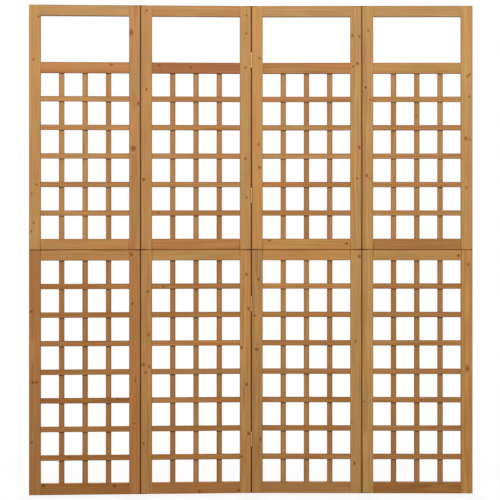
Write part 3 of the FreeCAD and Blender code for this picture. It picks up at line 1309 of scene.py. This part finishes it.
@dataclass
class Hinges:
    """All the butt hinges: leaves and screws on the panels, pins on the panels that keep them."""

    sizes: DividerSizes
    plated: Material
    drawn: Material
    to_frame_end: float = 200.0
    sharp_deg: float = 35.0

    def __post_init__(self) -> None:
        """Draw up the hinge and the heights at which it is set."""
        self.hinge = ButtHinge(self.sizes.panel_gap, self.sizes.axis_proud)
        ends = ((0.0, self.sizes.seam), (self.sizes.seam, self.sizes.height))
        self.heights = [z for foot, top in ends for z in (foot + self.to_frame_end, top - self.to_frame_end)]

    def place(self, fold: Fold, panel: int, height: float) -> Matrix:
        """Work out where a hinge's drawing goes in the flat divider.

        Args:
            fold: The fold.
            panel: The panel whose stile the drawing's Z points into.
            height: The height of the hinge's middle.

        Returns:
            The matrix from the drawing to the flat divider.
        """
        middle = self.sizes.panel_left(fold.right) - self.sizes.panel_gap / 2
        into_stile = -1 if panel == fold.left else 1
        out = fold.barrel.value
        return Matrix((
            (0, 0, into_stile, middle),
            (-out, 0, 0, out * self.sizes.frame_thickness / 2),
            (0, 1, 0, height),
            (0, 0, 0, 1),
        ))

    def repeat(self, mesh: BMesh, fold: Fold, panel: int, draw: Callable[[BMesh], None]) -> None:
        """Draw a piece at every hinge of a fold.

        Args:
            mesh: The mesh that takes the pieces.
            fold: The fold.
            panel: The panel that the piece is on.
            draw: What draws one piece.
        """
        for height in self.heights:
            before = set(mesh.verts)
            draw(mesh)
            made = [vert for vert in mesh.verts if vert not in before]
            bmesh.ops.transform(mesh, matrix=self.place(fold, panel, height), verts=made)

    def finish(self, mesh: BMesh, node: str, panel: int, steel: Material, slot: str) -> None:
        """Seat a run of hinge pieces on its panel, smooth but for its sharp edges.

        Args:
            mesh: The pieces in the flat divider.
            node: The node that they stand for.
            panel: The panel that carries them.
            steel: Their finish.
            slot: The name of their material slot, which is kept on the seat and not used.
        """
        for face in mesh.faces:
            face.smooth = True
        seat = Seat(node, f"panel_{panel}", stand_matrix(self.sizes, panel), steel, slot)
        piece = seat.finish(mesh, node + "_steel")
        piece.data.set_sharp_from_angle(angle=math.radians(self.sharp_deg))

    def build(self) -> None:
        """Model the leaves, screws and pins."""
        for panel in range(1, self.sizes.panel_count + 1):
            leaves, screws = bmesh.new(), bmesh.new()
            for fold in FOLDS:
                if panel in (fold.left, fold.right):
                    draw_leaf = partial(self.hinge.draw_leaf, end_knuckles=panel == fold.carrier)
                    self.repeat(leaves, fold, panel, draw_leaf)
                    self.repeat(screws, fold, panel, self.hinge.draw_screws)
            self.finish(leaves, f"panel_{panel}_hinge_leaves", panel, self.plated, "hinge_steel")
            self.finish(screws, f"panel_{panel}_hinge_screws", panel, self.plated, "screw_steel")
        for fold in FOLDS:
            pins = bmesh.new()
            self.repeat(pins, fold, fold.carrier, self.hinge.draw_pin)
            self.finish(pins, f"hinge_pins_{fold.left}_{fold.right}", fold.carrier, self.drawn, "pin_steel")


@dataclass(frozen=True)
class SoftBox:
    """A broad lamp over one face of the divider, which may leave gleams to the other lamps and the world."""

    name: str
    place_m: Triple
    gleams: bool = True
    watts: float = 108.0
    size_m: tuple[float, float] = (2.6, 0.7)
    aim_m: Triple = (0.0, 0.0, 1.4)

    def build(self) -> None:
        """Hang the lamp and turn it to its aim."""
        data = bpy.data.lights.new(self.name, "AREA")
        data.shape = "RECTANGLE"
        data.size, data.size_y = self.size_m
        data.energy = self.watts
        lamp = bpy.data.objects.new(self.name, data)
        lamp.location = self.place_m
        lamp.visible_glossy = self.gleams
        aim = Vector(self.aim_m) - Vector(self.place_m)
        lamp.rotation_euler = aim.to_track_quat("-Z", "Y").to_euler()
        bpy.context.scene.collection.objects.link(lamp)


@dataclass(frozen=True)
class Studio:
    """A white floor and background under soft light from above, in front and behind.

    Rays that look at the floor or the background meet white, and rays that light the divider meet less.
    Near the divider only a share of the floor glows and the rest is lit, so that a faint shadow shows.
    """

    floor_m: float = 14.0
    floor_level: Fade = Fade(0.0, 1.0, 0.25, 1.0)
    glow_share: Fade = Fade(1.2, 2.6, 0.8, 1.0)
    ambient: float = 0.46
    lamps: tuple[SoftBox, ...] = (
        SoftBox("front_lamp", (-0.2, -3.6, 2.6)),
        SoftBox("back_lamp", (0.2, 3.6, 2.6), gleams=False),
    )

    def white_where_seen(self, add: AddNode) -> Node:
        """Tell the rays that look at the background, straight or by reflection, from those that light.

        Args:
            add: What adds a node.

        Returns:
            The node that gives one for such rays.
        """
        path = add("LightPath").outputs
        mirrored = add("Math", path["Is Glossy Ray"], path["Is Transmission Ray"], operation="MAXIMUM")
        return add("Math", path["Is Camera Ray"], mirrored, operation="MAXIMUM")

    def build_world(self) -> None:
        """Make the background."""
        world = bpy.data.worlds.new("studio")
        add = node_adder(world)
        lit = add("Background", WHITE, self.ambient)
        seen = add("Background", WHITE, 1.0)
        add("OutputWorld", add("MixShader", self.white_where_seen(add), lit, seen))
        bpy.context.scene.world = world

    def floor_finish(self) -> Material:
        """Make the floor's white, which shows as the background and takes a faint shadow near the divider.

        Returns:
            The floor's material.
        """
        material = bpy.data.materials.new("white_floor")
        add = node_adder(material)
        seen = self.white_where_seen(add)
        matt = add("BsdfDiffuse", add("MapRange", seen, *self.floor_level))
        glow = add("Emission", WHITE, 1.0)
        away = add("VectorMath", add("TexCoord").outputs["Object"], operation="LENGTH")
        bare = add("MapRange", away, *self.glow_share, interpolation_type="SMOOTHSTEP")
        share = add("Math", seen, bare, operation="MULTIPLY")
        add("OutputMaterial", add("MixShader", share, matt, glow))
        return material

    def build(self) -> None:
        """Make the background, the floor and the lamps."""
        self.build_world()
        mesh = bmesh.new()
        bmesh.ops.create_grid(mesh, x_segments=1, y_segments=1, size=self.floor_m / 2)
        finished_object("floor", mesh, self.floor_finish())
        for lamp in self.lamps:
            lamp.build()


def dress_node(node: str, material: Material) -> None:
    """Give a solid node that stays in view its finish.

    Args:
        node: The node's name.
        material: The finish.
    """
    data = frame["nodes"][node].data
    data.materials.clear()
    data.materials.append(material)
    LOG.info("%s: dressed", node)


def main() -> None:
    """Build the divider's looks and its studio."""
    logging.basicConfig(level=logging.INFO, format="%(message)s")
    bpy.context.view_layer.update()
    bpy.context.scene.view_settings.view_transform = "Standard"
    sizes = DividerSizes()
    viewpoint = Viewpoint()
    viewpoint.build()
    Studio().build()
    finish = StainedFir()
    wood = finish.build()
    beech = RawBeech().build()
    for number in range(1, sizes.panel_count + 1):
        Panel(number, sizes, finish, wood, viewpoint).build()
        dress_node(f"panel_{number}_loose_tenons", beech)
    Hinges(sizes, YELLOW_ZINC.build(), BRIGHT_DRAWN.build()).build()
    bpy.context.view_layer.update()


if __name__ == "__main__":
    main()
